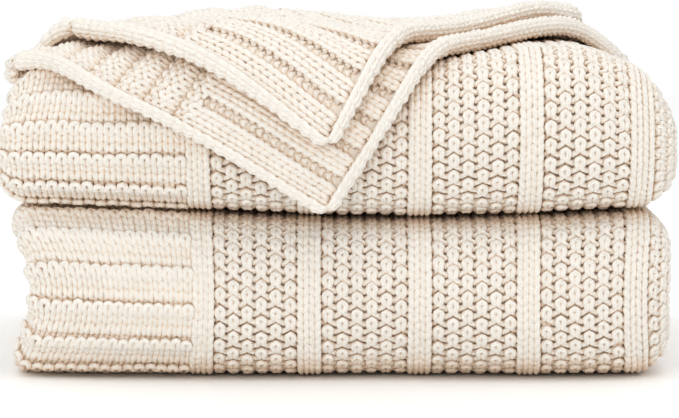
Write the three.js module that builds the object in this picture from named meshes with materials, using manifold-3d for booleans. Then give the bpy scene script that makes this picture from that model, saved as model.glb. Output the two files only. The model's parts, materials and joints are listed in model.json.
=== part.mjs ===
// A knitted throw blanket, folded for a shelf, with one corner turned over its front edge.
//
// The throw is one knitted sheet. It is folded in four across its width, which makes a
// strip of four layers, and the strip is folded back and forth into four panels. The two
// lower panels are the lower half of the stack and the two upper panels are the upper half.
// Both halves join at the back fold, so the stack opens there like a book. The corner of
// the two top layers is turned over a slanting crease and hangs down the front.
//
// Millimetres, +Z up, front of the stack towards -Y. The origin is on the ground, under
// the middle of the whole object.
import * as THREE from "three";
import { mergeVertices } from "three/addons/utils/BufferGeometryUtils.js";
import Module from "manifold-3d";

// Driving dimensions
const STACK_WIDTH = 320; // a 1270 mm side folded in four
const STACK_DEPTH = 280; // the 1016 mm side folded back and forth
const LAYERS = 4; // knitted layers in the strip
const LAYER_PITCH = 10; // one layer with the air around it
const GAP = 0.3; // clearance between neighbouring layers
const SIDE_STEP = 5; // how far the outer layers stop short of the rounded side
const CREASE_ANGLE = THREE.MathUtils.degToRad(30); // between the crease and the front edge
const TURNED_HEM = 306; // length of hem on the turned corner
const CREASE_START = 20; // how far the crease begins ahead of the flat top
const FLAP_PITCH = 5.9; // one layer of the turned corner
const FLAP_GAP = 1; // clearance under each flap layer, which its flat facets need on the round
const TOP_FLAP_INSET_SIDE = 29; // the upper flap layer stops this far inside the selvedge
const TOP_FLAP_INSET_HEM = 16; // and this far inside the hem
const LABEL = { width: 30, depth: 18, thickness: 1, x: 95 };
const ARC_STEPS = 14; // straight steps in a half circle
const FLAP_STEPS = 16; // steps along each side of the turned corner

// Worked out from them
const strip = LAYERS * LAYER_PITCH; // thickness of one panel, and radius of a fold
const layerThickness = LAYER_PITCH - GAP;
const flapStack = 2 * FLAP_PITCH;
const frontY = (flapStack - STACK_DEPTH) / 2;
const backY = frontY + STACK_DEPTH;
const middleZ = 2 * strip; // where the two halves meet
const topZ = 4 * strip;
const frontCentreY = frontY + strip; // axis of both front folds
const backCentreY = backY - strip; // axis of the back fold
const turnedSelvedge = TURNED_HEM * Math.tan(CREASE_ANGLE);
const hemY = frontCentreY - CREASE_START + turnedSelvedge; // back edge of the top panel
const creaseStart = new THREE.Vector2(-STACK_WIDTH / 2, frontCentreY - CREASE_START);
const creaseAlong = new THREE.Vector2(Math.cos(CREASE_ANGLE), Math.sin(CREASE_ANGLE));
const creaseEnd = new THREE.Vector2(creaseStart.x + TURNED_HEM, hemY);

const IVORY = 0xf1e6d6;
const LABEL_WHITE = 0xf7f5f0;

const wasm = await Module();
wasm.setup();

const throwBlanket = new THREE.Group();

function cloth(color = IVORY) {
  return new THREE.MeshStandardMaterial({ color, roughness: 0.95, metalness: 0 });
}

function addPiece(name, geometry, material = cloth()) {
  const piece = new THREE.Mesh(geometry, material);
  piece.name = name;
  throwBlanket.add(piece);
  return piece;
}

// A solid from an outline in the YZ plane, drawn out along X from one x to another.
function drawnAlongX(outline, fromX, toX) {
  const geometry = new THREE.ExtrudeGeometry(new THREE.Shape(outline), {
    depth: toX - fromX,
    bevelEnabled: false,
  });
  const alongX = new THREE.Matrix4().makeBasis(
    new THREE.Vector3(0, 1, 0),
    new THREE.Vector3(0, 0, 1),
    new THREE.Vector3(1, 0, 0),
  );
  return geometry.applyMatrix4(alongX).translate(fromX, 0, 0);
}

// Points on an arc in the YZ plane, angles in degrees from +Y towards +Z.
function arc(centreY, centreZ, radius, fromDegrees, toDegrees) {
  const steps = Math.max(2, Math.round((ARC_STEPS * Math.abs(toDegrees - fromDegrees)) / 180));
  const points = [];
  for (let i = 0; i <= steps; i++) {
    const angle = THREE.MathUtils.degToRad(fromDegrees + ((toDegrees - fromDegrees) * i) / steps);
    points.push(
      new THREE.Vector2(centreY + radius * Math.cos(angle), centreZ + radius * Math.sin(angle)),
    );
  }
  return points;
}

// One layer of a half of the stack, as seen from the right. It runs in from an open end,
// round the front fold and back to the middle of the back fold. Drawn for the lower half,
// where the open end is on the ground; `depth` is how far the layer lies inside the strip.
function halfOutline(depth, openEndY) {
  const outer = strip - depth;
  const inner = outer - layerThickness;
  const meeting = middleZ - GAP / 2; // the two halves keep a gap where they meet
  const innerBack =
    depth > 0
      ? arc(backCentreY, meeting, depth, 270, 360)
      : [new THREE.Vector2(backCentreY, meeting)];
  return [
    new THREE.Vector2(openEndY, depth),
    ...arc(frontCentreY, strip, outer, 270, 90).map(
      (p) => new THREE.Vector2(p.x, Math.min(p.y, meeting)),
    ),
    ...innerBack,
    ...arc(backCentreY, meeting, depth + layerThickness, 360, 270),
    ...arc(frontCentreY, strip, inner, 90, 270),
    new THREE.Vector2(openEndY, depth + layerThickness),
  ];
}

// The upper half is the lower half turned over about the plane where they meet.
function turnedOver(outline) {
  return outline.map((p) => new THREE.Vector2(p.x, 2 * middleZ - p.y)).reverse();
}

function sideX(layer) {
  const outermost = layer === 0 || layer === LAYERS - 1;
  return STACK_WIDTH / 2 - (outermost ? SIDE_STEP : 0);
}

function toSolid(geometry) {
  const bare = geometry.clone();
  bare.deleteAttribute("normal");
  bare.deleteAttribute("uv");
  const merged = mergeVertices(bare, 1e-3);
  return new wasm.Manifold(
    new wasm.Mesh({
      numProp: 3,
      vertProperties: merged.attributes.position.array,
      triVerts: new Uint32Array(merged.index.array),
    }),
  );
}

function toGeometry(solid) {
  const mesh = solid.getMesh();
  const geometry = new THREE.BufferGeometry();
  geometry.setAttribute("position", new THREE.BufferAttribute(mesh.vertProperties, 3));
  geometry.setIndex(new THREE.BufferAttribute(mesh.triVerts, 1));
  geometry.computeVertexNormals();
  return geometry;
}

// The space behind the crease, above the third layer: the two top layers have left it.
function behindTheCrease() {
  const beyond = 2 * STACK_DEPTH;
  const behind = new THREE.Vector2(-creaseAlong.y, creaseAlong.x);
  const start = creaseStart.clone().addScaledVector(creaseAlong, -beyond);
  const end = creaseStart.clone().addScaledVector(creaseAlong, 2 * beyond);
  const corners = [
    start,
    end,
    end.clone().addScaledVector(behind, beyond),
    start.clone().addScaledVector(behind, beyond),
  ];
  const geometry = new THREE.ExtrudeGeometry(new THREE.Shape(corners), {
    depth: strip,
    bevelEnabled: false,
  });
  return toSolid(geometry.translate(0, 0, topZ - 2 * LAYER_PITCH));
}

const layerNames = ["outer", "second", "third", "inner"];

function addLowerHalf() {
  layerNames.forEach((name, layer) => {
    const outline = halfOutline(layer * LAYER_PITCH, backY);
    addPiece(name + "_layer_lower", drawnAlongX(outline, -STACK_WIDTH / 2, sideX(layer)));
  });
}

function addUpperHalf() {
  const taken = behindTheCrease();
  layerNames.forEach((name, layer) => {
    const outline = turnedOver(halfOutline(layer * LAYER_PITCH, hemY));
    const whole = drawnAlongX(outline, -STACK_WIDTH / 2, sideX(layer));
    const turnsOver = layer < 2;
    const shape = turnsOver ? toGeometry(toSolid(whole).subtract(taken)) : whole;
    addPiece(name + "_layer_upper", shape);
  });
}

// Where a point of the turned corner lies: flat on the top panel, over the round of the
// front fold, then straight down. `flat` is its place on the top panel laid out flat.
function draped(flat, height) {
  const past = frontCentreY - flat.y;
  const radius = strip + height;
  const quarter = (strip + flapStack / 2) * (Math.PI / 2);
  if (past <= 0) return new THREE.Vector3(flat.x, flat.y, topZ + height);
  if (past >= quarter)
    return new THREE.Vector3(flat.x, frontCentreY - radius, topZ - strip - (past - quarter));
  const turn = (past / quarter) * (Math.PI / 2);
  return new THREE.Vector3(
    flat.x,
    frontCentreY - radius * Math.sin(turn),
    topZ - strip + radius * Math.cos(turn),
  );
}

// A closed three-cornered slab of knitting, draped: corners are given laid out flat,
// counter-clockwise from above.
function drapedTriangle(corners, bottom, top) {
  const [a, b, c] = corners;
  const positions = [];
  const at = new Map();
  for (const [side, height] of [bottom, top].entries())
    for (let i = 0; i <= FLAP_STEPS; i++)
      for (let j = 0; j <= FLAP_STEPS - i; j++) {
        const flat = a
          .clone()
          .multiplyScalar(1 - (i + j) / FLAP_STEPS)
          .addScaledVector(b, i / FLAP_STEPS)
          .addScaledVector(c, j / FLAP_STEPS);
        at.set([side, i, j].join(), positions.length / 3);
        positions.push(...draped(flat, height).toArray());
      }
  const v = (side, i, j) => at.get([side, i, j].join());
  const faces = [];
  for (let i = 0; i < FLAP_STEPS; i++)
    for (let j = 0; j < FLAP_STEPS - i; j++) {
      faces.push(v(1, i, j), v(1, i + 1, j), v(1, i, j + 1));
      faces.push(v(0, i, j), v(0, i, j + 1), v(0, i + 1, j));
      if (i + j < FLAP_STEPS - 1) {
        faces.push(v(1, i + 1, j), v(1, i + 1, j + 1), v(1, i, j + 1));
        faces.push(v(0, i + 1, j), v(0, i, j + 1), v(0, i + 1, j + 1));
      }
    }
  const rims = [
    (k) => [k, 0],
    (k) => [FLAP_STEPS - k, k],
    (k) => [0, FLAP_STEPS - k],
  ];
  for (const rim of rims)
    for (let k = 0; k < FLAP_STEPS; k++) {
      const here = rim(k);
      const next = rim(k + 1);
      faces.push(v(0, ...here), v(0, ...next), v(1, ...next));
      faces.push(v(0, ...here), v(1, ...next), v(1, ...here));
    }
  const geometry = new THREE.BufferGeometry();
  geometry.setAttribute("position", new THREE.Float32BufferAttribute(positions, 3));
  geometry.setIndex(faces);
  geometry.computeVertexNormals();
  return geometry;
}

function addTurnedCorner() {
  const toFront = new THREE.Vector2(creaseAlong.y, -creaseAlong.x);
  const reach = 2 * TURNED_HEM * Math.sin(CREASE_ANGLE);
  const blanketCorner = new THREE.Vector2(creaseStart.x, hemY);
  const tip = blanketCorner.clone().addScaledVector(toFront, reach);
  addPiece(
    "corner_flap_under",
    drapedTriangle([creaseStart, tip, creaseEnd], FLAP_GAP, FLAP_PITCH),
  );

  const alongSelvedge = creaseStart.clone().sub(tip).normalize();
  const alongHem = creaseEnd.clone().sub(tip).normalize();
  const topTip = tip
    .clone()
    .addScaledVector(alongSelvedge, TOP_FLAP_INSET_HEM)
    .addScaledVector(alongHem, TOP_FLAP_INSET_SIDE);
  const topStart = creaseStart
    .clone()
    .addScaledVector(creaseAlong, TOP_FLAP_INSET_SIDE / Math.cos(CREASE_ANGLE));
  const topEnd = creaseEnd
    .clone()
    .addScaledVector(creaseAlong, -TOP_FLAP_INSET_HEM / Math.sin(CREASE_ANGLE));
  addPiece(
    "corner_flap_top",
    drapedTriangle([topStart, topTip, topEnd], FLAP_PITCH + FLAP_GAP, flapStack),
  );
}

// A blank care label, sewn into the hem and lying on the panel behind it.
function addCareLabel() {
  const label = new THREE.BoxGeometry(LABEL.width, LABEL.depth, LABEL.thickness);
  label.translate(
    LABEL.x,
    hemY + GAP + LABEL.depth / 2,
    topZ - strip + GAP + LABEL.thickness / 2,
  );
  addPiece("care_label", label, cloth(LABEL_WHITE));
}

addLowerHalf();
addUpperHalf();
addTurnedCorner();
addCareLabel();

export default throwBlanket;
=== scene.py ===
"""A folded, knitted throw blanket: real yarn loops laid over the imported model's folded layers.

The throw is one sheet, folded in four across its width and then back and forth into four
panels. A cross-section curve gives the folded width, a path gives the folded length, and
every stitch is worked out on the surface that the two make. All lengths are in metres.
"""
import json
import math

import bpy
import numpy as np
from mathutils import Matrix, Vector


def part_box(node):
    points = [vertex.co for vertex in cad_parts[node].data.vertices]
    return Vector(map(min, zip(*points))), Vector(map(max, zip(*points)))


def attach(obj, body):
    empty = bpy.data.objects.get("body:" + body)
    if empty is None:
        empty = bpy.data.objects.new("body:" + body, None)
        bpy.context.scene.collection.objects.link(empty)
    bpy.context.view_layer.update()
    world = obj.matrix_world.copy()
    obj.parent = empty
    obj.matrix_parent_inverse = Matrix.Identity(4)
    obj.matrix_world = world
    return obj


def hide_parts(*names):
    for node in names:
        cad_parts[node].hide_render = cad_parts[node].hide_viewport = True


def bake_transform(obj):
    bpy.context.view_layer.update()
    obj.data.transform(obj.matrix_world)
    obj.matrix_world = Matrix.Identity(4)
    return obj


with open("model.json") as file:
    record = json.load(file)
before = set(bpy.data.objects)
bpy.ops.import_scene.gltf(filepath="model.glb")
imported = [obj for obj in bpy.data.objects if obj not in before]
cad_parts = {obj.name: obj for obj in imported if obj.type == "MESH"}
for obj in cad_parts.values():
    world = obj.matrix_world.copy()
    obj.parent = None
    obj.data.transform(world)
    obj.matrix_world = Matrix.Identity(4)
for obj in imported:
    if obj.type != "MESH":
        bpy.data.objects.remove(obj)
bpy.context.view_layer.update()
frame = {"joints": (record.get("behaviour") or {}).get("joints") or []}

MM = 0.001
RNG = np.random.default_rng(7)

# ---------------- sizes from the frame

JOINTS = {joint["name"]: joint for joint in frame["joints"]}
BACK_FOLD = JOINTS["back_fold"]
CREASE = JOINTS["corner_crease"]
low, high = (np.array(corner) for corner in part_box("outer_layer_lower"))
MIDDLE = float(BACK_FOLD["pos_m"][2])  # where the lower and the upper half meet
STRIP = MIDDLE / 2  # thickness of one panel of four layers
LEFT = float(low[0])
FRONT = float(low[1])
BACK = float(high[1])
RIGHT = float(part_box("second_layer_lower")[1][0])
FRONT_AXIS = FRONT + STRIP  # axis of both front folds
BACK_AXIS = BACK - STRIP  # axis of the back fold
TOP = 2 * MIDDLE
along = -np.array(CREASE["axis"], float)[:2]
ALONG = along / np.linalg.norm(along)  # the crease, from front left to back right
BEHIND = np.array([-ALONG[1], ALONG[0]])
CREASE_START = np.array(CREASE["pos_m"], float)[:2]
flap_low, flap_high = (np.array(corner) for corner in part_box("corner_flap_under"))
TURNED_HEM = float(flap_high[0] - flap_low[0])
TURNED_SELVEDGE = TURNED_HEM * ALONG[1] / ALONG[0]
HEM = CREASE_START[1] + TURNED_SELVEDGE  # back edge of the top panel
CREASE_END = CREASE_START + ALONG * math.hypot(TURNED_HEM, TURNED_SELVEDGE)
FLAP_STACK = float(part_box("corner_flap_top")[1][2]) - TOP

# ---------------- the knitting

YARN = 1.62 * MM  # yarn radius
SWING = 0.17  # how far a loop's legs lean, in stitch widths
MOSS_PINCH = 0.09  # how far a moss loop's legs close up below its head, in stitch widths
LOOP_HEIGHT = 1.72  # height of a loop, in rows
DIP = 1.35 * MM  # how far the yarn passes in front of and behind the sheet
MOSS_DIP = 1.25 * MM
ROW = 4.1 * MM  # height of one row of stitches
INSET = 3.6 * MM  # depth of the yarn's middle below the outside of the folded strip
# The ground sheet's warm tan is painted shade where it shows between the stitches.
GROUND_HEIGHT = -1.7 * MM  # the ground cloth lies this far below the yarn's middle
BORDER_WALES = 17  # columns of stitches in each side border
BAND_WALES = 2  # and in each plain band
PANEL_WALES = 6  # and in each panel of moss stitch
REPEATS = 21  # bands, each with the panel beside it
BORDER_PITCH = 5.5 * MM
BAND_PITCH = 5.3 * MM
PANEL_PITCH = 6.85 * MM
HEM_ROWS = 18  # depth of the ribbed end border, in rows
WELT_ROWS = 4  # one welt of the side border: three knit rows and a purl row
RIB_WALES = 3  # one rib of the hem: two knit columns and a purl column


def wale_edges():
    """Where each column of stitches begins, measured across the flat sheet."""
    border = [BORDER_PITCH] * BORDER_WALES
    repeat = [BAND_PITCH] * BAND_WALES + [PANEL_PITCH] * PANEL_WALES
    return np.concatenate([[0.0], np.cumsum(border + repeat * REPEATS + border)])


EDGES = wale_edges()
WALES = len(EDGES) - 1


def wales_between(start, end):
    """First and last+1 wale of the part of the sheet from start to end."""
    return int(np.searchsorted(EDGES, start)), int(np.searchsorted(EDGES, end))


def in_border(wale):
    """Whether a column of stitches lies in one of the two welted side borders."""
    return (wale < BORDER_WALES) | (wale >= WALES - BORDER_WALES)


def in_band(wale):
    """Whether a column between the borders is one of a plain band."""
    return (wale - BORDER_WALES) % (BAND_WALES + PANEL_WALES) < BAND_WALES


def in_moss(wale):
    """Whether a column of stitches lies in a panel of moss stitch."""
    return ~in_border(wale) & ~in_band(wale)


def front_face(wale, row):
    """1 for a knit stitch and -1 for a purl, as the right side of the sheet shows it."""
    welt = np.where(row % WELT_ROWS == 0, -1, 1)
    moss = np.where((wale + row) % 2 == 0, 1, -1)
    field = np.where(in_band(wale), 1, moss)
    return np.where(in_border(wale), welt, field)


def relief(wale, row, side):
    """How far the cloth stands up: welts and bands bulge where stitches of a kind meet."""
    welt = np.cos(2 * math.pi * (row - 0.35) / WELT_ROWS) * 1.1 * MM * side
    band = np.where(in_band(wale), 0.7 * MM, 0.0) * side
    return np.where(in_border(wale), welt, band)


def edge_stitch(wale, row):
    """A plain chain of knit stitches, as along a finished edge."""
    return np.ones(np.shape(wale + row))


def flat_relief(wale, row, side):
    """Cloth that doesn't stand up anywhere."""
    return np.zeros(np.shape(wale + row))


def hem_rib(wale, row):
    """The hem's ribs: two columns of knit stitches and one of purl."""
    return np.where(wale % RIB_WALES == 2, -1, 1)


def hem_rib_relief(wale, row, side):
    """The ribs stand up and the purl columns between them sink in."""
    return np.where(wale % RIB_WALES == 2, -1.3 * MM, 0.5 * MM)


def corner_kind(wale, row):
    """The reverse of the cloth: ribs by the hem, then the border's welts, then moss."""
    return np.where(row < HEM_ROWS, hem_rib(wale, row), -front_face(wale, row))


def corner_relief(wale, row, side):
    """How far the reverse of the cloth stands up."""
    return np.where(row < HEM_ROWS, hem_rib_relief(wale, row, 1), relief(wale, row, -1))


# ---------------- the folded shape

OUTER_RIDGE = STRIP / 2 - INSET  # radius of the right-hand side fold
RIGHT_AXIS = RIGHT - STRIP / 2  # its axis
INNER_RIDGE = 5.5 * MM  # radius of the left-hand side fold
LEFT_AXIS = LEFT + 2 * MM + INNER_RIDGE  # its axis
INNER_RIGHT_AXIS = RIGHT_AXIS + 4 * MM  # axis of the fold inside the right-hand one
CURL = 11 * MM  # radius of the outer layer's selvedge, which curls in at the left end
SQUARENESS = 0.62  # 1 would make the front folds round


def cross_section_runs():
    """The folded width as straight runs and arcs: (length, point at a share, normal).

    A point is (x, depth), where depth is measured in from the outer skin of the strip.
    """
    outer = INSET
    inner = STRIP - INSET
    third = inner - 2 * INNER_RIDGE
    runs = []

    def straight(x0, x1, depth, facing):
        runs.append((abs(x1 - x0), lambda f: (x0 + (x1 - x0) * f, depth + 0 * f),
                     lambda f: (0 * f, facing + 0 * f)))

    def arc(x, depth, radius, start, end, facing=1):
        sweep = math.radians(end - start)

        def outward(f):
            angle = math.radians(start) + sweep * f
            return np.array([np.cos(angle), np.sin(angle)])

        runs.append((radius * abs(sweep),
                     lambda f: np.array([[x], [depth]]) + radius * outward(f),
                     lambda f: facing * outward(f)))

    arc(LEFT + CURL, outer + CURL, CURL, 180, 270)
    straight(LEFT + CURL, RIGHT_AXIS, outer, -1)
    arc(RIGHT_AXIS, STRIP / 2, OUTER_RIDGE, -90, 90)
    straight(RIGHT_AXIS, LEFT_AXIS, inner, 1)
    arc(LEFT_AXIS, (inner + third) / 2, INNER_RIDGE, 90, 270)
    straight(LEFT_AXIS, INNER_RIGHT_AXIS, third, -1)
    arc(INNER_RIGHT_AXIS, STRIP / 2, third - STRIP / 2, 90, -90, -1)
    straight(INNER_RIGHT_AXIS, LEFT + 0.7 * CURL, STRIP - third, 1)
    return runs


RUNS = cross_section_runs()
RUN_ENDS = np.cumsum([0.0] + [run[0] for run in RUNS])
WIDTH_SCALE = RUN_ENDS[-1] / EDGES[-1]


def cross_section(across, height):
    """(x, depth) of a point `across` the flat sheet, standing `height` above the yarn's middle."""
    q = np.clip(across * WIDTH_SCALE, 0, RUN_ENDS[-1])
    run = np.clip(np.searchsorted(RUN_ENDS, q, side="right") - 1, 0, len(RUNS) - 1)
    x = np.empty_like(q)
    depth = np.empty_like(q)
    for i, (length, point, normal) in enumerate(RUNS):
        here = run == i
        f = (q[here] - RUN_ENDS[i]) / length
        px, pd = point(f)
        nx, nd = normal(f)
        x[here] = px + nx * height[here]
        depth[here] = pd + nd * height[here]
    return x, depth


def squared_round():
    """A half turn, a little squarer than a circle: (share of its length, angle), length."""
    angle = np.linspace(0, math.pi, 241)
    out, up = np.sin(angle) ** SQUARENESS, -np.cos(angle)
    steps = np.hypot(np.diff(out), np.diff(up))
    length = np.concatenate([[0.0], np.cumsum(steps)])
    return length / length[-1], angle, float(length[-1])


ROUND_SHARES, ROUND_ANGLES, ROUND_LENGTH = squared_round()


def front_round(share):
    """How far out and how far down a point of a front fold lies, for a radius of 1."""
    angle = np.interp(share, ROUND_SHARES, ROUND_ANGLES)
    return np.abs(np.sin(angle)) ** SQUARENESS, np.cos(angle)


def folded_path(station, depth):
    """(y, z) in the lower half. Stations: 0-1 lowest panel, 1-2 front fold, 2-3 upper panel,
    3-5 the back fold, whose second half belongs to the upper half of the stack."""
    leg = np.clip(np.floor(station), 0, 3)
    f = station - leg
    radius = STRIP - depth
    out, down = front_round(f)
    back_turn = math.pi / 2 * f
    y = np.select(
        [leg == 0, leg == 1, leg == 2],
        [BACK + (FRONT_AXIS - BACK) * f, FRONT_AXIS - radius * out,
         FRONT_AXIS + (BACK_AXIS - FRONT_AXIS) * f],
        BACK_AXIS + depth * np.sin(back_turn),
    )
    z = np.select(
        [leg == 0, leg == 1, leg == 2],
        [depth, STRIP - radius * down, MIDDLE - depth],
        MIDDLE - depth * np.cos(back_turn),
    )
    return y, z


def smooth(t):
    """An even rise from 0 to 1."""
    t = np.clip(t, 0, 1)
    return t * t * (3 - 2 * t)


def drawn_in(share, level, forward):
    """How far the ends are drawn sideways: in at the lower half's middle and at the top left."""
    tuck = np.sin(math.pi * np.clip(2 * level, 0, 1)) * (level < 0.5) * forward
    tucked_top = smooth((level - 0.7) / 0.3) * smooth((-share - 0.6) / 0.4)
    left = 14.0 * smooth((-share - 0.2) / 0.8)
    right = -3.0 * smooth((share - 0.2) / 0.8)
    return ((left + right) * tuck + 7.0 * tucked_top) * MM


def drawn_back(share, level, y):
    """How far the front folds stay back: most at both ends, and a little unevenly."""
    nose = smooth((FRONT_AXIS + STRIP - y) / (2 * STRIP))
    end = smooth((np.abs(share) - 0.62) / 0.38)
    return (8.0 * end ** 2 + 1.3 * np.sin(7.0 * share + 9.0 * level)) * MM * nose


def sagged(share, level, forward):
    """How far the layers sag: a wavy gap between the halves, and a top that slopes at its ends."""
    belly = np.sin(math.pi * np.clip(level, 0, 1))
    wave = 3.2 * np.cos(2.6 * (share + 1.02)) - 1.2
    crown = smooth((level - 0.5) / 0.5)
    humps = 3.2 * np.cos(6.8 * (share - 0.65)) - 5.0
    right_slope = 20 * np.clip((share - 0.68) / 0.32, 0, 1.1) ** 2
    left_slope = 8 * np.clip((-share - 0.78) / 0.22, 0, 1.1) ** 2
    return (wave * belly * forward + (humps - right_slope - left_slope) * crown) * MM


def above_ground(z):
    """Keeps the yarn's middle a yarn's radius above the ground, with a soft stop."""
    above = z - YARN
    return YARN + (above + np.sqrt(above ** 2 + (0.8 * MM) ** 2)) / 2


def settle(points):
    """Gives the neat folded shape the soft irregularities of a real stack."""
    x, y, z = points.T
    share = x / ((RIGHT - LEFT) / 2)  # -1 at the left end and 1 at the right
    level = z / TOP
    forward = smooth((BACK_AXIS - y) / (BACK_AXIS - FRONT))
    return np.column_stack([x + drawn_in(share, level, forward), y + drawn_back(share, level, y),
                            above_ground(z + sagged(share, level, forward))])


def half_surface(row_stations, upper):
    """Maps (across, row, height) to space for one half of the stack."""
    rows = np.arange(len(row_stations))

    def surface(across, row, height):
        station = np.interp(row, rows, row_stations)
        station = station + np.minimum(row, 0) * (row_stations[1] - row_stations[0])
        x, depth = cross_section(across, height)
        y, z = folded_path(station, depth)
        if upper:
            z = 2 * MIDDLE - z
        return settle(np.column_stack([x, y, z]))

    return surface


def stations(depth, spans):
    """The station at each row of a run at this depth. spans are (start, end) stations."""
    out = [spans[0][0]]
    for start, end in spans:
        leg = int(start)
        whole = {0: BACK - FRONT_AXIS, 1: ROUND_LENGTH * (STRIP - depth),
                 2: BACK_AXIS - FRONT_AXIS}.get(leg, math.pi / 2 * depth)
        count = max(2, round(whole * (end - start) / ROW))
        out += list(np.linspace(start, end, count + 1)[1:])
    return np.array(out)


def knitting_order(path, upper):
    """Stations in the order the rows were knitted: on up through the stack, to the top hem."""
    return path[::-1] if upper else path


# ---------------- yarn into meshes

def loop_shape(samples):
    """Shares along one stitch, with the sideways swing and the rounded rise of its yarn."""
    t = np.arange(samples) / samples
    return t, np.sin(4 * math.pi * t), (1 - np.cos(2 * math.pi * t)) / 2


def dip_of(t, here, above, left, right):
    """Front-to-back course of a stitch: its foot follows its own kind, its head the next's."""
    foot_left = -(here + left) / 2
    foot_right = -(here + right) / 2
    foot = np.where(t < 0.5, foot_left, foot_right)
    head = -above
    lower = (1 - np.cos(4 * math.pi * t)) / 2
    near_foot = (t < 0.25) | (t > 0.75)
    return np.where(near_foot, foot + (here - foot) * lower, head + (here - head) * lower)


def row_of_loops(kind, raised, row, wale, samples, edges):
    """(across, row, height) along the yarn of one row; each stitch differs a little."""
    t, swing, rise = loop_shape(samples)
    plain = kind is edge_stitch or (kind is corner_kind and row < HEM_ROWS)
    pointed = in_moss(wale)[:, None] & (not plain)
    wobble = RNG.normal(0, 1, (3, len(wale), 1))
    pinch = np.where(pointed, MOSS_PINCH, 0) * np.sin(2 * math.pi * t)[None]
    width = (edges[wale + 1] - edges[wale])[:, None]
    across = edges[wale][:, None] + width * (t[None] + SWING * swing[None] + pinch)
    peak = 1 - np.abs(2 * t - 1)
    rises = np.where(pointed, 0.35 * rise + 0.65 * peak, rise[None]) * LOOP_HEIGHT
    up = row + rises * (1 + 0.04 * wobble[0])
    dip = np.where(pointed, MOSS_DIP, DIP) * (1 + 0.08 * wobble[1])
    here, above, left, right = (kind(wale + beside, row + over)[:, None]
                                for beside, over in ((0, 0), (0, 1), (-1, 0), (1, 0)))
    height = dip_of(t[None], here, above, left, right) * dip
    height = height + 0.15 * MM * wobble[2] * np.sin(math.pi * t)[None]
    height = height + raised(wale[:, None] + 0 * t[None], up, 1)
    return (np.append(across.ravel(), edges[wale[-1] + 1]), np.append(up.ravel(), float(row)),
            np.append(height.ravel(), height.ravel()[-1]))


def knit(name, surface, kind, raised, rows, wale_range, samples=12, sides=5, edges=EDGES,
         both_faces=False):
    """Rows of interlocked loops as one mesh of closed tubes.

    wale_range(row) gives the first and last+1 wale of each row. kind and raised say which
    stitches are purl and how far the cloth bulges.
    """
    centres, ups, heights = [], [], []
    step = 0.2 * MM  # for finding which way is up from the cloth
    for row in rows:
        first, last = wale_range(row)
        if last - first < 1:
            continue
        across, up, height = row_of_loops(kind, raised, row, np.arange(first, last), samples,
                                          edges)
        centre = surface(across, up, height)
        centres.append(centre)
        ups.append(surface(across, up, height + step) - centre)
        heights.append(height)
    return tubes(name, centres, ups, heights, sides, YARN, both_faces)


EDGE_RADIUS = 2.6 * MM  # of the round edge that the chain is worked over
EDGE_PITCH = 5.6 * MM  # from one stitch of the chain to the next
EDGE_WALES = np.linspace(0, math.pi * EDGE_RADIUS, 4)  # three stitches from face to face


def bound_edge(name, surface, along_hem, start, end, body, at=0.0, samples=8, sides=5):
    """A chain of stitches worked over an edge of the sheet, from one face to the other.

    It runs along the hem, or along the selvedge, between two distances from the corner.
    """

    def wrapped(across, row, height):
        angle = across / EDGE_RADIUS
        out = -(EDGE_RADIUS + height) * np.sin(angle)
        lift = (EDGE_RADIUS + height) * np.cos(angle)
        along = start + row * EDGE_PITCH
        if along_hem:
            return surface(along, at + out / ROW, lift)
        return surface(at + out, along / ROW, lift)

    rows = range(max(1, int((end - start) / EDGE_PITCH)))
    piece = knit(name, wrapped, edge_stitch, flat_relief, rows, lambda row: (0, 3), samples,
                 sides, EDGE_WALES)
    return dress(piece, YARN_LOOK, body)


def tube_points(line, up, radius, angle):
    """A ring of points round each point of a line, with the cloth's up at angle 0."""
    tangent = np.gradient(line, axis=0)
    tangent /= np.linalg.norm(tangent, axis=1, keepdims=True) + 1e-12
    beside = np.cross(tangent, up)
    beside /= np.linalg.norm(beside, axis=1, keepdims=True) + 1e-12
    over = np.cross(beside, tangent)
    return (line[:, None] + radius * (np.cos(angle)[None, :, None] * over[:, None]
                                      + np.sin(angle)[None, :, None] * beside[:, None]))


def tube_uvs(line, sides):
    """For each corner of a tube's quads, the metres along the yarn and the share round it."""
    steps = np.linalg.norm(np.diff(line, axis=0), axis=1)
    travelled = np.concatenate([[0], np.cumsum(steps)])
    ring = np.arange(sides)
    u0 = travelled[:-1, None] + 0 * ring[None]
    u1 = travelled[1:, None] + 0 * ring[None]
    v0 = ring[None] / sides + 0 * u0
    v1 = (ring[None] + 1) / sides + 0 * u0
    return np.stack([u0, v0, u1, v0, u1, v1, u0, v1], axis=-1).reshape(-1, 2)


def tubes(name, centres, ups, heights, sides, radius, both_faces=False):
    """One mesh of closed tubes along the given runs of points. The depth that it stores, for
    the yarn's painted shade, is measured from the sheet's middle where both faces are seen."""
    ring = np.arange(sides)
    angle = 2 * math.pi * ring / sides
    vertices, loops, loop_totals, uvs, depth = [], [], [], [], []
    offset = 0
    for line, up, height in zip(centres, ups, heights):
        vertices.append(tube_points(line, up, radius, angle).reshape(-1, 3))
        raised = (height[:, None] + radius * np.cos(angle)[None]).ravel()
        depth.append(np.abs(raised) if both_faces else raised)
        quads_along = len(line) - 1
        start = offset + np.arange(quads_along)[:, None] * sides
        here = start + ring[None]
        beyond = start + (ring[None] + 1) % sides
        quads = np.stack([here, here + sides, beyond + sides, beyond], axis=-1)
        caps = [offset + ring[::-1], offset + quads_along * sides + ring]
        loops += [quads.reshape(-1), *caps]
        loop_totals += [np.full(quads_along * sides, 4), np.full(2, sides)]
        uvs += [tube_uvs(line, sides), np.zeros((2 * sides, 2))]
        offset += len(line) * sides
    return mesh_object(name, np.concatenate(vertices), np.concatenate(loops),
                       np.concatenate(loop_totals), np.concatenate(uvs), np.concatenate(depth))


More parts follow.
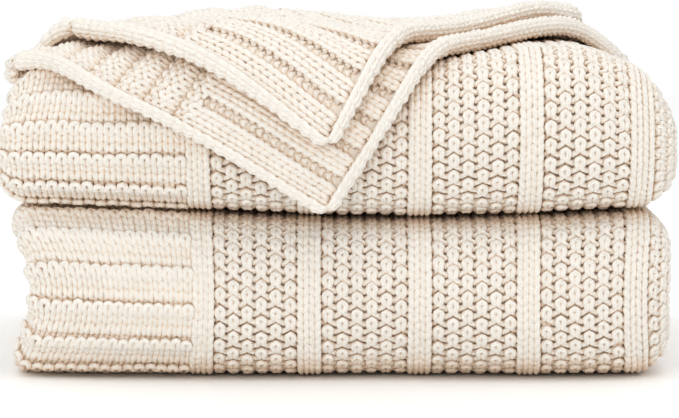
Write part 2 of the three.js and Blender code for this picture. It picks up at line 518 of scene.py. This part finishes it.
def add_object(name, data):
    """A new object in the scene."""
    made = bpy.data.objects.new(name, data)
    bpy.context.scene.collection.objects.link(made)
    return made


def mesh_object(name, vertices, loops, totals, uvs=None, depth=None):
    """An object from points, the corners of its faces and the number of corners of each."""
    mesh = bpy.data.meshes.new(name)
    mesh.vertices.add(len(vertices))
    mesh.vertices.foreach_set("co", vertices.astype(np.float32).ravel())
    mesh.loops.add(len(loops))
    mesh.loops.foreach_set("vertex_index", loops.astype(np.int32))
    mesh.polygons.add(len(totals))
    starts = np.concatenate([[0], np.cumsum(totals)[:-1]])
    mesh.polygons.foreach_set("loop_start", starts.astype(np.int32))
    mesh.polygons.foreach_set("loop_total", totals.astype(np.int32))
    if uvs is not None:
        layer = mesh.uv_layers.new(name="along_yarn")
        layer.data.foreach_set("uv", uvs.astype(np.float32).ravel())
    if depth is not None:
        attribute = mesh.attributes.new("depth", "FLOAT", "POINT")
        attribute.data.foreach_set("value", (depth / MM).astype(np.float32))
    mesh.update(calc_edges=True)
    mesh.validate()
    mesh.shade_smooth()
    return add_object(name, mesh)


def grid_object(name, points, keep=None):
    """A sheet of quads through an (n, m, 3) array of points."""
    n, m = points.shape[:2]
    index = np.arange(n * m).reshape(n, m)
    quads = np.stack([index[:-1, :-1], index[1:, :-1], index[1:, 1:], index[:-1, 1:]], axis=-1)
    quads = quads.reshape(-1, 4)
    if keep is not None:
        quads = quads[keep.reshape(-1)]
    used, compact = np.unique(quads, return_inverse=True)
    return mesh_object(name, points.reshape(-1, 3)[used], compact.reshape(-1),
                       np.full(len(quads), 4))


# ---------------- looks

def set_inputs(made, **inputs):
    """Puts constant values on a node's inputs."""
    for name, value in inputs.items():
        made.inputs[name.replace("_", " ")].default_value = value
    return made


def node(tree, kind, **inputs):
    """A new shader node with the given values on its inputs."""
    return set_inputs(tree.nodes.new(kind), **inputs)


def math_node(tree, operation, value, *operands):
    """The result of a sum on an output; an operand is another output or a constant."""
    made = tree.nodes.new("ShaderNodeMath")
    made.operation = operation
    tree.links.new(value, made.inputs[0])
    for i, operand in enumerate(operands, start=1):
        if isinstance(operand, (int, float)):
            made.inputs[i].default_value = operand
        else:
            tree.links.new(operand, made.inputs[i])
    return made.outputs["Value"]


def color_ramp(tree, value, *stops):
    """The colour for a value; each stop is a position and its colour."""
    ramp = tree.nodes.new("ShaderNodeValToRGB")
    elements = ramp.color_ramp.elements
    for _ in stops[2:]:
        elements.new(0.5)
    for element, (position, color) in zip(elements, stops):
        element.position = position
        element.color = (*color, 1)
    tree.links.new(value, ramp.inputs["Fac"])
    return ramp.outputs["Color"]


def multiplied(tree, color):
    """A node that multiplies a colour; its Factor and B inputs are left to the caller."""
    mixed = tree.nodes.new("ShaderNodeMix")
    mixed.data_type = "RGBA"
    mixed.blend_type = "MULTIPLY"
    tree.links.new(color, mixed.inputs["A"])
    return mixed


def painted_depth_shade(tree):
    """Painted shade: paler on the outside of the cloth, darker and warmer deep between its
    stitches.
    """
    deep = tree.nodes.new("ShaderNodeAttribute")
    deep.attribute_name = "depth"
    reach = node(tree, "ShaderNodeMapRange", From_Min=-2.4, From_Max=2.2)
    tree.links.new(deep.outputs["Fac"], reach.inputs["Value"])
    return color_ramp(tree, reach.outputs["Result"], (0, (0.88, 0.775, 0.64)),
                      (0.45, (0.89, 0.835, 0.755)), (1, (0.895, 0.86, 0.805)))


def mottled(tree, color, place):
    """Slight, wide patches, as in yarn that took its dye unevenly."""
    mottle = node(tree, "ShaderNodeTexNoise", Scale=90.0, Detail=3.0)
    tree.links.new(place, mottle.inputs["Vector"])
    tint = multiplied(tree, color)
    tint.inputs["B"].default_value = (0.93, 0.91, 0.88, 1)
    tree.links.new(mottle.outputs["Fac"], tint.inputs["Factor"])
    return tint.outputs["Result"]


def painted_hollow_shade(tree, color):
    """Painted shade: darkens and warms the colour where ambient occlusion finds a crevice, in
    place of light that reaches it through the fibres and comes out warmer.
    """
    open_to_light = node(tree, "ShaderNodeAmbientOcclusion", Distance=14 * MM)
    open_to_light.samples = 6
    hollow_shade_color = color_ramp(tree, open_to_light.outputs["AO"], (0.05, (0.95, 0.73, 0.54)),
                        (0.75, (1, 1, 1)))
    mixed = multiplied(tree, color)
    mixed.inputs["Factor"].default_value = 1.0
    tree.links.new(hollow_shade_color, mixed.inputs["B"])
    return mixed.outputs["Result"]


PLIES = 3.0  # strands twisted together in the yarn
TWIST = 3.4 * MM  # length of yarn in which the pattern of the plies repeats


def twisted_fibres(tree, place):
    """The height of the yarn's skin: plies that wind round its length, and fine fuzz."""
    along_yarn = tree.nodes.new("ShaderNodeUVMap")
    along_yarn.uv_map = "along_yarn"
    parts = tree.nodes.new("ShaderNodeSeparateXYZ")
    tree.links.new(along_yarn.outputs["UV"], parts.inputs["Vector"])
    around = math_node(tree, "MULTIPLY", parts.outputs["Y"], PLIES)
    turns = math_node(tree, "MULTIPLY_ADD", parts.outputs["X"], 1 / TWIST, around)
    phase = math_node(tree, "MULTIPLY", turns, 2 * math.pi)
    ply = math_node(tree, "SINE", phase)
    fibres = node(tree, "ShaderNodeTexNoise", Scale=1900.0, Detail=2.0)
    tree.links.new(place, fibres.inputs["Vector"])
    return math_node(tree, "MULTIPLY_ADD", fibres.outputs["Fac"], 2.2, ply)


def raise_surface(tree, height, shader, strength, distance):
    """Lets the light see a height that the mesh doesn't have."""
    bump = node(tree, "ShaderNodeBump", Strength=strength, Distance=distance)
    tree.links.new(height, bump.inputs["Height"])
    tree.links.new(bump.outputs["Normal"], shader.inputs["Normal"])


def cloth_shader(name, roughness, specular):
    """A new material, with its node tree and its dull shader."""
    material = bpy.data.materials.new(name)
    material.use_nodes = True
    shader = material.node_tree.nodes["Principled BSDF"]
    set_inputs(shader, Roughness=roughness, Specular_IOR_Level=specular)
    return material, material.node_tree, shader


def yarn_material():
    """Soft ivory yarn: fibres twisted round its length, with painted shade that makes it
    warmer and darker deep in the cloth and in its hollows.
    """
    material, tree, shader = cloth_shader("ivory_yarn", 0.92, 0.15)
    set_inputs(shader, Sheen_Weight=0.25, Sheen_Roughness=0.6, Sheen_Tint=(1.0, 0.96, 0.9, 1.0))
    place = tree.nodes.new("ShaderNodeTexCoord").outputs["Object"]
    # Painted shade: darker and warmer deep in the cloth and where ambient occlusion finds a
    # hollow.
    color = painted_hollow_shade(tree, mottled(tree, painted_depth_shade(tree), place))
    tree.links.new(color, shader.inputs["Base Color"])
    raise_surface(tree, twisted_fibres(tree, place), shader, 0.55, 0.35 * MM)
    return material


def plain_cloth(name, color, grain):
    """A close woven or knitted ground with a fine grain."""
    material, tree, shader = cloth_shader(name, 0.95, 0.1)
    place = tree.nodes.new("ShaderNodeTexCoord").outputs["Object"]
    noise = node(tree, "ShaderNodeTexNoise", Scale=grain, Detail=3.0)
    tree.links.new(place, noise.inputs["Vector"])
    grained = color_ramp(tree, noise.outputs["Fac"], (0, [0.8 * c for c in color]), (1, color))
    tree.links.new(grained, shader.inputs["Base Color"])
    raise_surface(tree, noise.outputs["Fac"], shader, 0.5, 0.4 * MM)
    return material


YARN_LOOK = yarn_material()
# Painted shade: the ground sheet's warm tan shows as the shade between the stitches.
GAP_SHADE_LOOK = plain_cloth("gap_shade_sheet", (0.91, 0.83, 0.73), 700.0)
LABEL_LOOK = plain_cloth("white_tape", (0.90, 0.89, 0.86), 1400.0)
THREAD_LOOK = plain_cloth("sewing_thread", (0.80, 0.74, 0.64), 2500.0)


def dress(piece, look, body):
    """Gives a piece its material and, when one is given, its body."""
    piece.data.materials.clear()
    piece.data.materials.append(look)
    if body:
        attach(piece, body)
    return piece


# ---------------- the stack

def rows_of(station_list, start, end):
    """The rows whose stations lie from start to end."""
    return [int(r) for r in np.nonzero((station_list >= start - 1e-9)
                                       & (station_list < end - 1e-9))[0]]


TOP_PANEL_START = (BACK - HEM) / (BACK - FRONT_AXIS)  # the upper half's hem, as a station
# Where the four layers, counted from the outside, end and begin across the flat sheet.
L1_START, L1_END, L4_START, L4_END, L3_START, _, L2_START = RUN_ENDS[1:8] / WIDTH_SCALE
RIDGE_MIDDLE = (L1_END + L4_START) / 2
FULL = EDGES[-1]

# Stations that cut the skin into pieces of a manageable size.
FOLD_START = 0.93
FOLD_MIDDLE = 1.42
FOLD_END = 2.12
LINING_START = 2.66  # from here on the innermost layer is a piece of its own, the lining
HALF_END = 3.01  # just past the last row of a half


def crease_x(y):
    """Where the crease crosses a given y."""
    return CREASE_START[0] + (y - CREASE_START[1]) * ALONG[0] / ALONG[1]


ON_SHEET = {name: [] for name in ("lower", "upper", "back_fold", "corner_under", "corner_top")}


def add_knit(name, surface, rows, span, body, samples=12, sides=5):
    """Stitches on one half of the stack."""
    piece = knit(name, surface, front_face, relief, rows, span, samples, sides)
    ON_SHEET[body.removesuffix("_half")].append(piece)
    return dress(piece, YARN_LOOK, body)


def half_path(depth, upper, *more):
    """The rows of one half at a depth in the strip, from its open end to the back fold."""
    start = TOP_PANEL_START if upper else 0.0
    return knitting_order(stations(depth, [(start, 1), (1, 2), (2, 3), *more]), upper)


def skin(label, upper, body):
    """The outer layer's right side, as far as the middle of the right-hand ridge."""
    path = half_path(INSET, upper)
    surface = half_surface(path, upper)
    whole = wales_between(0, RIDGE_MIDDLE)

    def full_width(row):
        return whole

    def ahead_of_crease(row):
        if not upper or path[row] >= 1.2:
            return whole
        y = folded_path(path[row:row + 1], np.array([INSET]))[0][0]
        from_left = max(0.0, crease_x(y) + 2 * MM - LEFT)
        return wales_between(from_left, RIDGE_MIDDLE)

    def add(part, start, end, span, samples=12, sides=5):
        add_knit(f"{label}_{part}", surface, rows_of(path, start, end), span, body,
                 samples, sides)

    add("front_fold_a", FOLD_START, FOLD_MIDDLE, ahead_of_crease)
    add("front_fold_b", FOLD_MIDDLE, FOLD_END, full_width)
    add("inside_panel", FOLD_END, LINING_START, full_width, 8, 4)
    if upper:
        add("top_panel", 0, FOLD_START, ahead_of_crease)
    else:
        add("underside", 0, FOLD_START, full_width, 8, 4)


def inner_skin(label, upper, body):
    """The inner layer's right side, with the inner half of the right-hand ridge."""
    path = half_path(STRIP - INSET, upper, (3, 4))
    surface = half_surface(path, upper)
    ridge = wales_between(RIDGE_MIDDLE, L4_START + 6 * MM)
    whole = wales_between(RIDGE_MIDDLE, L4_END)

    def add(part, start, end, span, samples=10, sides=5):
        add_knit(f"{label}_{part}", surface, rows_of(path, start, end), lambda row: span,
                 body, samples, sides)

    rear = 2.7 if upper else 2.95  # the upper half shows more of its rear when it opens
    add("ridge", 0, rear, ridge, 8, 4)
    add("rear", rear, HALF_END, whole)
    if not upper:
        add("hem_top", 0, 0.16, whole, 8, 4)


def left_edges(label, upper, body):
    """What shows at the left end: the folded pair of layers and the second selvedge."""
    fold_path = half_path(0.75 * STRIP, upper)
    fold = wales_between(L4_END - 8 * MM, L3_START + 8 * MM)
    add_knit(f"{label}_left_fold", half_surface(fold_path, upper),
             rows_of(fold_path, 0, HALF_END), lambda row: fold, body, 8, 5)
    edge_path = half_path(STRIP / 2 - INNER_RIDGE, upper)
    edge_start = 1.08 if upper else 0  # the turned corner takes its edge along
    edge = (wales_between(FULL - 20 * MM, FULL)[0], WALES)
    add_knit(f"{label}_second_selvedge", half_surface(edge_path, upper),
             rows_of(edge_path, edge_start, HALF_END), lambda row: edge, body, 8, 5)


def third_layer_top():
    """The third layer of the top panel, which the turned corner has uncovered."""
    depth = STRIP / 2 + INNER_RIDGE
    path = knitting_order(stations(depth, [(TOP_PANEL_START, 1)]), True)

    def behind_crease(row):
        y = folded_path(path[row:row + 1], np.array([depth]))[0][0]
        reach = min(crease_x(y) + 14 * MM, INNER_RIGHT_AXIS) - LEFT_AXIS
        return wales_between(L3_START, L3_START + max(0.0, reach))

    add_knit("uncovered_layer", half_surface(path, True), rows_of(path, 0, 1.01),
             behind_crease, "upper_half", 10, 5)


def hem_edges():
    """The chain edge of the sheet's two hems, which end the lowest and the top panel."""
    depth = STRIP / 2
    lower_path = stations(depth, [(0.0, 1)])
    lower = bound_edge("lower_hem", half_surface(lower_path, False), True, 0.0, FULL,
                       "lower_half")
    start = L1_START + (CREASE_END[0] - (LEFT + CURL)) / WIDTH_SCALE
    end = L2_START + (INNER_RIGHT_AXIS - CREASE_END[0]) / WIDTH_SCALE
    upper_path = stations(depth, [(TOP_PANEL_START, 1)])
    upper = bound_edge("upper_hem", half_surface(upper_path, True), True, start, end,
                       "upper_half")
    ON_SHEET["lower"].append(lower)
    ON_SHEET["upper"].append(upper)


def ground_path(spans):
    """The stations of a ground sheet's cross lines, closer together where it turns."""
    path = [spans[0][0]]
    for start, end in spans:
        turns = 1 <= start < 2 or start >= 3
        path += list(np.linspace(start, end, 25 if turns else 13)[1:])
    return np.array(path)


def left_by_the_corner(points, path, across):
    """Which quads of the upper half's ground the turned corner has taken away."""
    middle = (points[:-1, :-1] + points[1:, 1:]) / 2
    behind = (middle[..., :2] - CREASE_START) @ BEHIND > 0
    turned = (across[None, 1:] <= L1_END + MM) | (across[None, :-1] >= L2_START - MM)
    on_top = path[:-1, None] < 1.15
    return behind & turned & on_top


def ground_sheet(name, upper, spans, body):
    """The cloth under its own loops, as one folded sheet close beneath them; its warm tan is
    painted shade where it shows between the stitches.
    """
    path = ground_path(spans)
    across = np.unique(np.concatenate([
        np.linspace(RUN_ENDS[i], RUN_ENDS[i + 1], 13 if i % 2 == 0 else 33)
        for i in range(len(RUNS))])) / WIDTH_SCALE
    surface = half_surface(path, upper)
    row, q = np.meshgrid(np.arange(len(path), dtype=float), across, indexing="ij")
    flat_height = np.full(q.size, GROUND_HEIGHT)
    points = surface(q.ravel(), row.ravel(), flat_height).reshape(*q.shape, 3)
    keep = ~left_by_the_corner(points, path, across) if upper else None
    return dress(grid_object(name, points, keep), GAP_SHADE_LOOK, body)


def lining(half, upper):
    """The innermost layer by the back fold."""
    path = knitting_order(stations(INSET, [(LINING_START, 3), (3, 4)]), upper)
    span = wales_between(0, RIDGE_MIDDLE)
    piece = knit(f"back_fold_lining_{half}", half_surface(path, upper), front_face, relief,
                 range(len(path)), lambda row: span, 8, 4)
    ON_SHEET["back_fold"].append(piece)
    dress(piece, YARN_LOOK, None)
    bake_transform(piece)


def back_fold():
    """Where the two halves join: the layers turn round here."""
    outer = STRIP - INSET
    path = stations(outer, [(3, 4), (4, 5)])
    surface = half_surface(path, False)
    rows = list(range(len(path)))

    def bend(piece):
        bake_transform(piece)

    def add(part, span, reach, samples=10, sides=5):
        piece = knit("back_fold_" + part, surface, front_face, relief, rows,
                     lambda row: span, samples, sides)
        ON_SHEET["back_fold"].append(piece)
        dress(piece, YARN_LOOK, None)
        bend(piece)

    add("outside", wales_between(L4_START - 8 * MM, L4_END), 0.75 * outer)
    add("right_ridge", wales_between(L1_END, L4_START - 8 * MM), STRIP / 2)
    add("left_fold", wales_between(L4_END, L3_START + 8 * MM), 0.7 * STRIP)
    add("second_selvedge", (WALES - 3, WALES), STRIP / 2 - INNER_RIDGE)
    for half, upper in (("lower", False), ("upper", True)):
        lining(half, upper)
    sheet = ground_sheet("back_fold_sheet", False, [(3, 4), (4, 5)], None)
    bend(sheet)
    return sheet


# ---------------- the turned corner

TO_FRONT = -BEHIND
BLANKET_CORNER = np.array([CREASE_START[0], HEM])
TIP = BLANKET_CORNER + 2 * TURNED_HEM * ALONG[1] * TO_FRONT
ALONG_SELVEDGE = (CREASE_START - TIP) / np.linalg.norm(CREASE_START - TIP)
ALONG_HEM = (CREASE_END - TIP) / np.linalg.norm(CREASE_END - TIP)
UNDER_HEIGHT = 3.2 * MM  # of the corner's under layer, above the top panel
OVER_HEIGHT = 9.0 * MM  # and of its top layer
TOP_INSET_SELVEDGE = 29 * MM  # the top layer stops this far inside the under one's selvedge
TOP_INSET_HEM = 16 * MM  # and this far inside its hem
# The corner's ground sheet is warm tan too, as painted shade between the stitches.
CORNER_GROUND_HEIGHT = -0.4 * MM  # its ground is near the yarn's middle: both faces show
GROUND_LINES = 61  # lines of the corner's ground sheet each way


def draped(flat, height):
    """Over the round of the upper front fold and straight down from its foremost line."""
    past = FRONT_AXIS - flat[:, 1]
    radius = STRIP + height
    quarter = (STRIP + FLAP_STACK / 2) * ROUND_LENGTH / 2
    out, down = front_round(np.clip(past / quarter, 0, 1) / 2)
    hanging = np.maximum(past - quarter, 0)
    y = np.where(past <= 0, flat[:, 1], FRONT_AXIS - radius * out)
    z = TOP - STRIP + radius * down - hanging
    return np.column_stack([flat[:, 0], y, z])


def corner_layer(tip, level, roll, puff):
    """A layer of the turned corner: over the front as far as the crease, and round it."""
    to_crease = (tip - CREASE_START) @ BEHIND
    crease_length = np.linalg.norm(CREASE_END - CREASE_START)

    def edge_place(edge, past_crease):
        """How far along the crease an edge lies, at a distance past the crease."""
        reach = (past_crease - to_crease) / (edge @ BEHIND)
        return (tip - CREASE_START) @ ALONG + reach * (edge @ ALONG)

    def kept_on_crease(foot, past_crease):
        """The roll's ends stay at the ends of the crease, where the flat layer goes on."""
        share = np.clip(past_crease / (math.pi * roll), 0, 1)
        left = edge_place(ALONG_SELVEDGE, past_crease)
        right = edge_place(ALONG_HEM, past_crease)
        to_left = edge_place(ALONG_SELVEDGE, 0) * (1 - share)
        to_right = edge_place(ALONG_HEM, 0) * (1 - share) + crease_length * share
        place = (foot - CREASE_START) @ ALONG
        kept = to_left + (place - left) / (right - left + 1e-9) * (to_right - to_left)
        return foot + np.where(past_crease > 0, kept - place, 0)[:, None] * ALONG

    def surface(across, row, height):
        flat = tip + across[:, None] * ALONG_HEM + (row * ROW)[:, None] * ALONG_SELVEDGE
        past_crease = (flat - CREASE_START) @ BEHIND
        edge = np.clip(np.minimum(across, row * ROW), 0, None)
        curl = 2.2 * MM * np.exp(-edge / (9 * MM))
        slack = 1.2 * MM * np.sin(across / (31 * MM) + row * ROW / (44 * MM) + 60 * level)
        loose = (curl + slack) * smooth(-past_crease / (30 * MM))
        lift = level + height + loose + puff * np.exp(np.minimum(past_crease, 0) / (32 * MM))
        foot = flat - np.maximum(past_crease, 0)[:, None] * BEHIND
        foot = kept_on_crease(foot, past_crease)
        lying = draped(foot, lift)
        turn = np.clip(past_crease / roll, 0, math.pi)
        under = np.maximum(past_crease - math.pi * roll, 0)
        out = (roll + height) * np.sin(turn) - under
        base = draped(foot, np.full(len(foot), level + puff - roll))
        round_it = np.column_stack([base[:, :2] + out[:, None] * BEHIND,
                                    base[:, 2] + (roll + height) * np.cos(turn)])
        return settle(np.where(past_crease[:, None] > 0, round_it, lying))

    return surface


class TurnedLayer:
    """One layer of the turned corner, from its tip over the crease to the flat cloth.

    level is its height above the top panel, depth how far in the strip it goes on, and puff
    how much it stands up at the crease.
    """

    def __init__(self, label, tip, level, depth, puff):
        roll = (level + puff + depth) / 2
        self.label = label
        self.surface = corner_layer(tip, level, roll, puff)
        self.to_crease = (tip - CREASE_START) @ BEHIND
        self.hem_rate = ALONG_HEM @ BEHIND
        self.selvedge_rate = ALONG_SELVEDGE @ BEHIND
        self.round_end = math.pi * roll
        self.at_crease = np.append(CREASE_START, TOP + level + puff)
        self.under_crease = self.at_crease - [0, 0, 2 * roll]

    def across_at(self, row, past_crease):
        """How far a row runs before it is this far past the crease."""
        reached = self.to_crease + row * ROW * self.selvedge_rate
        return np.maximum(0.0, (past_crease - reached) / self.hem_rate)

    def wale_at(self, row, past_crease):
        return int(np.searchsorted(EDGES, self.across_at(row, past_crease)))

    def rows_to(self, past_crease):
        return (past_crease - self.to_crease) / self.selvedge_rate / ROW

    def over_front(self, piece, look=YARN_LOOK):
        """Puts a piece on the moving corner."""
        ON_SHEET[self.label].append(piece)
        return dress(piece, look, "corner_flap")

    def round_crease(self, piece, look=YARN_LOOK):
        """Keeps a piece between the moving corner and the stack on no body, with its transform
        baked in.
        """
        ON_SHEET[self.label].append(piece)
        dress(piece, look, None)
        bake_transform(piece)

    def knit_faces(self):
        """The stitches, up to the crease and round it."""

        def knitted(part, past_crease, span, samples):
            rows = range(int(self.rows_to(past_crease)))
            return knit(f"{self.label}_{part}", self.surface, corner_kind, corner_relief, rows,
                        span, samples, both_faces=True)

        self.over_front(knitted("front", 0, lambda row: (0, self.wale_at(row, 0)), 12))
        self.round_crease(knitted(
            "crease", self.round_end,
            lambda row: (self.wale_at(row, 0), self.wale_at(row, self.round_end)), 10))

    def bind_edges(self):
        """The chain along the hem and along the selvedge, up to the crease and round it."""
        for edge, rate in (("hem", self.hem_rate), ("selvedge", self.selvedge_rate)):
            name = f"{self.label}_{edge}"
            middle = -self.to_crease / rate
            end = (self.round_end - self.to_crease) / rate
            self.over_front(bound_edge(name, self.surface, edge == "hem", 0.0, middle, None))
            self.round_crease(bound_edge(name + "_turn", self.surface, edge == "hem", middle,
                                         end, None))

    def ground(self, name, near, far):
        """The cloth in the middle of its own loops, which show on both faces; its warm tan is
        painted shade where it shows between the stitches.
        """
        rows = np.linspace(0, self.rows_to(far) - 0.5, GROUND_LINES)[:, None]
        share = np.linspace(0, 1, GROUND_LINES)[None]
        first = self.across_at(rows, near) if near > 0 else 0 * rows
        across = first + (self.across_at(rows, far) - first) * share
        row = np.broadcast_to(rows, across.shape)
        height = np.full(across.size, CORNER_GROUND_HEIGHT)
        points = self.surface(across.ravel(), row.ravel(), height)
        return grid_object(name, points.reshape(GROUND_LINES, GROUND_LINES, 3))

    def build(self):
        """Makes all its pieces and returns the one that stands for the sheet."""
        self.knit_faces()
        self.bind_edges()
        sheet = dress(self.ground(self.label + "_sheet", -1, 0), GAP_SHADE_LOOK, "corner_flap")
        self.round_crease(self.ground(self.label + "_crease_sheet", 1e-6, self.round_end),
                          GAP_SHADE_LOOK)
        return sheet


# ---------------- the care label

LABEL_LIFT = 1.0 * MM  # height of the label's middle above that of its solid
LABEL_PLY = 0.35 * MM  # half the gap between the label's two faces
STITCH = 2.2 * MM  # length of one sewing stitch
STITCH_PITCH = 3.2 * MM
STITCH_POINTS = 7
label_near, label_far = (np.array(corner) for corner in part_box("care_label"))
LABEL_LEVEL = (label_near[2] + label_far[2]) / 2 + LABEL_LIFT


def label_wave(x):
    """The label isn't quite flat: it bows up along its width."""
    share = (x - label_near[0]) / (label_far[0] - label_near[0])
    return 0.5 * MM * np.sin(math.pi * share)


def label_tab():
    """A blank woven tab, folded double, sewn to the cloth by the hem."""
    near, far = label_near[1], label_far[1]
    along_tab = np.linspace(0, 1, 13)
    turn = np.linspace(0, math.pi, 7)[1:-1]
    y = np.concatenate([near + (far - near) * along_tab, far + LABEL_PLY * np.sin(turn),
                        far - (far - near) * along_tab])
    z = np.concatenate([0 * along_tab + LABEL_PLY, LABEL_PLY * np.cos(turn),
                        0 * along_tab - LABEL_PLY])
    grid_x, grid_y = np.meshgrid(np.linspace(label_near[0], label_far[0], 16), y)
    grid_z = z[:, None] + label_wave(grid_x) + LABEL_LEVEL
    points = settle(np.column_stack([grid_x.ravel(), grid_y.ravel(), grid_z.ravel()]))
    return dress(grid_object("care_tab", points.reshape(*grid_x.shape, 3)), LABEL_LOOK,
                 "upper_half")


def label_stitches():
    """A row of sewing stitches near the label's edge."""
    share = np.linspace(0, 1, STITCH_POINTS)
    arch = 0.35 * MM * np.sin(math.pi * share)
    stitches = []
    for start in np.arange(label_near[0] + 2 * MM, label_far[0] - 3 * MM, STITCH_PITCH):
        x = start + STITCH * share
        y = 0 * share + label_near[1] + 2 * MM
        z = LABEL_LEVEL + LABEL_PLY + arch + label_wave(x)
        stitches.append(settle(np.column_stack([x, y, z])))
    ups = [np.tile([0, 0, 1.0], (STITCH_POINTS, 1)) for _ in stitches]
    heights = [np.zeros(STITCH_POINTS) for _ in stitches]
    thread = tubes("care_tab_stitches", stitches, ups, heights, 5, 0.28 * MM)
    return dress(thread, THREAD_LOOK, "upper_half")


# ---------------- all the pieces

for half, is_upper, body_name in (("lower", False, "lower_half"), ("upper", True, "upper_half")):
    skin(half, is_upper, body_name)
    inner_skin(half, is_upper, body_name)
    left_edges(half, is_upper, body_name)
third_layer_top()
hem_edges()
lower_sheet = ground_sheet("lower_sheet", False, [(0, 1), (1, 2), (2, 3)], "lower_half")
upper_sheet = ground_sheet("upper_sheet", True, [(TOP_PANEL_START, 1), (1, 2), (2, 3)],
                           "upper_half")
back_fold_sheet = back_fold()

TOP_TIP = TIP + TOP_INSET_HEM * ALONG_SELVEDGE + TOP_INSET_SELVEDGE * ALONG_HEM
under_sheet = TurnedLayer("corner_under", TIP, UNDER_HEIGHT, INSET, 0.5 * MM).build()
top_sheet = TurnedLayer("corner_top", TOP_TIP, OVER_HEIGHT, STRIP / 2 - INNER_RIDGE,
                        5 * MM).build()
label = label_tab()
ON_SHEET["upper"] += [label, label_stitches()]

for sheet, half in ((lower_sheet, "lower"), (upper_sheet, "upper")):
    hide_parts(*[layer + "_layer_" + half
                         for layer in ("outer", "second", "third", "inner")])
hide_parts("corner_flap_under")
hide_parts("corner_flap_top")
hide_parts("care_label")


# ---------------- studio

def aim(thing, place, target):
    """Puts a lamp or a camera in its place and points it at a target."""
    thing.location = place
    thing.rotation_euler = (Vector(target) - Vector(place)).to_track_quat("-Z", "Y").to_euler()


def studio():
    """A pale floor and two large, soft lights in a white room."""
    floor_size = 6.0
    mesh = bpy.data.meshes.new("floor")
    half = floor_size / 2
    mesh.from_pydata([(-half, -half, 0), (half, -half, 0), (half, half, 0), (-half, half, 0)],
                     [], [(0, 1, 2, 3)])
    material = bpy.data.materials.new("pale_floor")
    material.use_nodes = True
    shader = material.node_tree.nodes["Principled BSDF"]
    set_inputs(shader, Base_Color=(0.97, 0.97, 0.96, 1), Roughness=0.5)
    mesh.materials.append(material)
    add_object("floor", mesh)

    world = bpy.data.worlds.new("studio")
    world.use_nodes = True
    set_inputs(world.node_tree.nodes["Background"], Color=(1, 1, 1, 1), Strength=1.0)
    bpy.context.scene.world = world
    bpy.context.scene.view_settings.view_transform = "Standard"

    def softbox(name, place, target, size, power):
        light = bpy.data.lights.new(name, "AREA")
        light.shape = "DISK"
        light.size = size
        light.energy = power
        aim(add_object(name, light), place, target)

    softbox("overhead", (0.0, -0.25, 1.5), (0, 0, 0.1), 1.2, 5)
    softbox("front", (-0.35, -1.6, 0.45), (0, 0, 0.08), 1.0, 4.5)


CAMERA_DISTANCE = 1.35  # ahead of the front of the stack
CAMERA_HEIGHT = 0.192
CAMERA_X = -0.001
AIM_HEIGHT = 0.082
VIEW_WIDTH = 0.315  # what the picture takes in at the front of the stack
SENSOR = 36.0


def camera():
    """A long lens from the front, a little above the middle of the stack."""
    data = bpy.data.cameras.new("camera")
    data.sensor_width = SENSOR
    data.lens = SENSOR * CAMERA_DISTANCE / VIEW_WIDTH
    eye = add_object("camera", data)
    aim(eye, (CAMERA_X, FRONT - CAMERA_DISTANCE, CAMERA_HEIGHT), (CAMERA_X, FRONT, AIM_HEIGHT))
    bpy.context.scene.camera = eye


studio()
camera()
